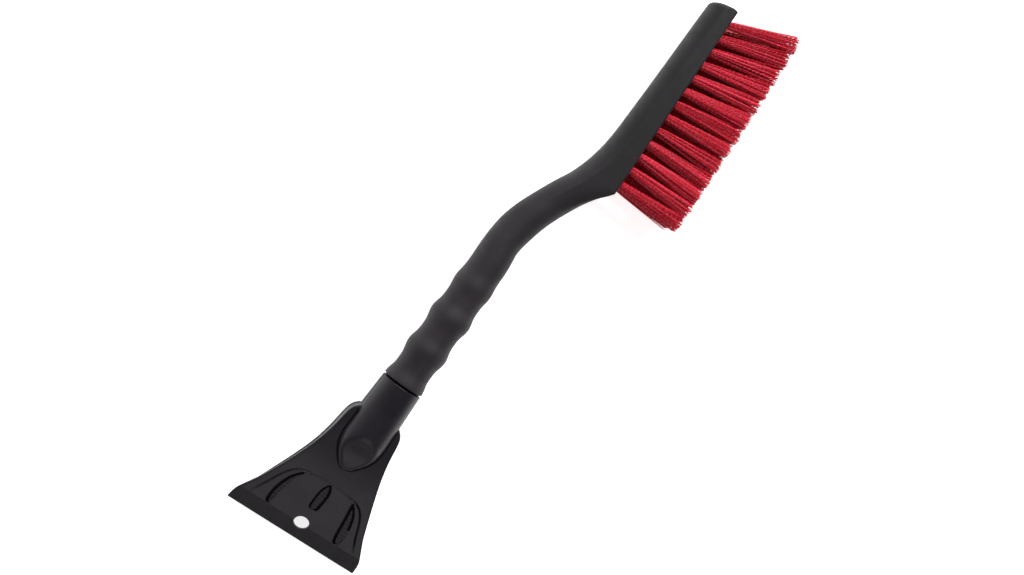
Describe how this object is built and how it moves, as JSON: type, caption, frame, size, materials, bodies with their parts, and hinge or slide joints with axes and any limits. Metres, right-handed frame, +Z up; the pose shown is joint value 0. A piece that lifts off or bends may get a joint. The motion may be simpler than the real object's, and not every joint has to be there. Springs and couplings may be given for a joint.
{
  "type": "snow brush with ice scraper",
  "caption": "Hand tool for clearing car windows: a waved plastic grip with a tufted snow brush at one end and a snapped-on fan-shaped ice scraper blade at the other.",
  "frame": {"origin": "centre of the tool's footprint, on the surface that it lies on", "axes": "+X along the handle from the scraper's edge to the brush's end, bristles towards -Y, +Z up with the tool lying on its side and the blade's panelled face up"},
  "size_m": [0.4688, 0.1392, 0.0328],
  "materials": {
    "handle": "fine matte texture",
    "head": "semi-gloss",
    "bristles": "crimped plastic filament"
  },
  "bodies": {
    "root": {"brush_handle": "handle", "scraper_head": "head", "tuft_1_01": "bristles", "tuft_1_02": "bristles", "tuft_1_03": "bristles", "tuft_1_04": "bristles", "tuft_1_05": "bristles", "tuft_1_06": "bristles", "tuft_1_07": "bristles", "tuft_1_08": "bristles", "tuft_1_09": "bristles", "tuft_1_10": "bristles", "tuft_1_11": "bristles", "tuft_1_12": "bristles", "tuft_1_13": "bristles", "tuft_2_01": "bristles", "tuft_2_02": "bristles", "tuft_2_03": "bristles", "tuft_2_04": "bristles", "tuft_2_05": "bristles", "tuft_2_06": "bristles", "tuft_2_07": "bristles", "tuft_2_08": "bristles", "tuft_2_09": "bristles", "tuft_2_10": "bristles", "tuft_2_11": "bristles", "tuft_2_12": "bristles", "tuft_3_01": "bristles", "tuft_3_02": "bristles", "tuft_3_03": "bristles", "tuft_3_04": "bristles", "tuft_3_05": "bristles", "tuft_3_06": "bristles", "tuft_3_07": "bristles", "tuft_3_08": "bristles", "tuft_3_09": "bristles", "tuft_3_10": "bristles", "tuft_3_11": "bristles", "tuft_3_12": "bristles", "tuft_3_13": "bristles"}
  },
  "joints": []
}
